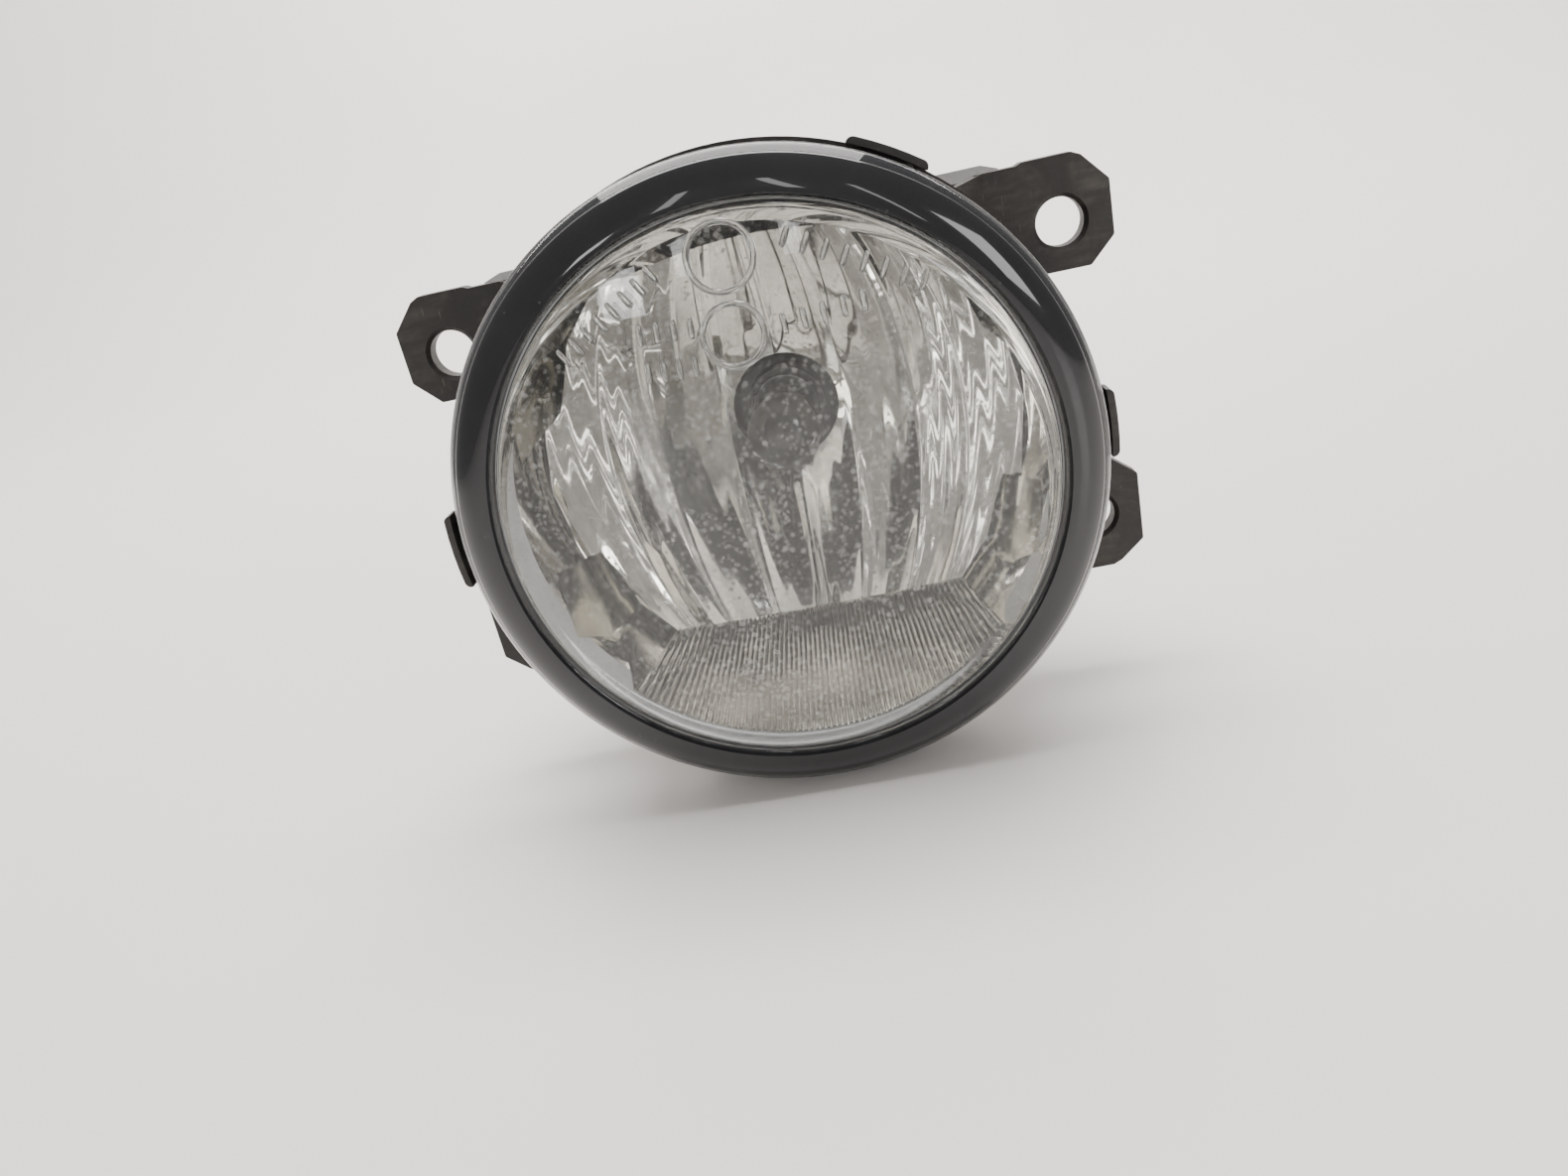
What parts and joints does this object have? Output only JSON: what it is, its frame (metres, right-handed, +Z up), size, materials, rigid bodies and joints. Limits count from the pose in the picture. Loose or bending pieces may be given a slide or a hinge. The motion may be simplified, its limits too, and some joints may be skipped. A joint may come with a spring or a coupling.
{
  "type": "fog light",
  "caption": "Round automotive fog light: glass lens over a metallised reflector, tilting in a plastic mounting frame with chamfered ears, with a bayonet halogen bulb.",
  "frame": {"origin": "centre of the front circle of the glass rim, on the optical axis", "axes": "-Y along the optical axis, the way the lamp shines; +Z up with the lamp level; +X to the right seen from the front"},
  "size_m": [0.1082, 0.1, 0.0916],
  "materials": {
    "clear_glass": "clear pressed glass, polished",
    "quartz": "clear fused quartz",
    "black_enamel": "opaque black gloss coating",
    "adhesive": "matt cured adhesive",
    "black_plastic": "moulded black, light texture",
    "frame_plastic": "moulded black, dusty and scuffed",
    "base_plastic": "moulded black, fine texture",
    "nut_plastic": "natural white nylon",
    "mirror_coating": "vacuum-deposited aluminium on plastic",
    "membrane": "white breathable film",
    "seal_rubber": "matt black rubber",
    "tungsten": "drawn wire",
    "steel": "bright zinc-plated steel",
    "contact_metal": "tin-plated brass"
  },
  "bodies": {
    "frame": {"mounting_frame": "frame_plastic"},
    "lamp": {"lens": "clear_glass", "lens_mask_ring": "black_enamel", "lens_seal": "adhesive", "lamp_body": "black_plastic", "reflector": "mirror_coating", "vent_membrane": "membrane", "vent_cap": "seal_rubber"},
    "bulb": {"bulb_glass": "quartz", "bulb_tip_coating": "black_enamel", "filament": "tungsten", "filament_supports": "tungsten", "bulb_foils": "steel", "bulb_clip_ring": "steel", "bulb_o_ring": "seal_rubber", "bulb_terminals": "contact_metal", "bulb_leads": "steel", "bulb_base": "base_plastic"},
    "screw": {"adjuster_screw": "steel", "adjuster_clip": "steel"},
    "nut": {"adjuster_nut": "nut_plastic"}
  },
  "joints": [
    {"name": "adjuster_turn", "type": "hinge", "parent": "frame", "child": "screw", "pos_m": [0, 0.05, -0.0385], "axis": [0, 1, 0], "range_deg": [-564, 564]},
    {"name": "aim_tilt", "type": "hinge", "parent": "frame", "child": "lamp", "pos_m": [0, 0.0065, 0], "axis": [1, 0, 0], "range_deg": [-3.5, 3.5]},
    {"name": "nut_slide", "type": "slide", "parent": "frame", "child": "nut", "axis": [0, 1, 0], "range_m": [-0.0024, 0.0024]},
    {"name": "bulb_twist", "type": "hinge", "parent": "lamp", "child": "bulb", "pos_m": [0, 0.065, 0], "axis": [0, 1, 0], "range_deg": [0, 40]}
  ],
  "couplings": [
    {"joint": "aim_tilt", "follows": "adjuster_turn", "ratio": -0.0062008},
    {"joint": "nut_slide", "follows": "adjuster_turn", "m_per_rad": -0.00023873}
  ]
}
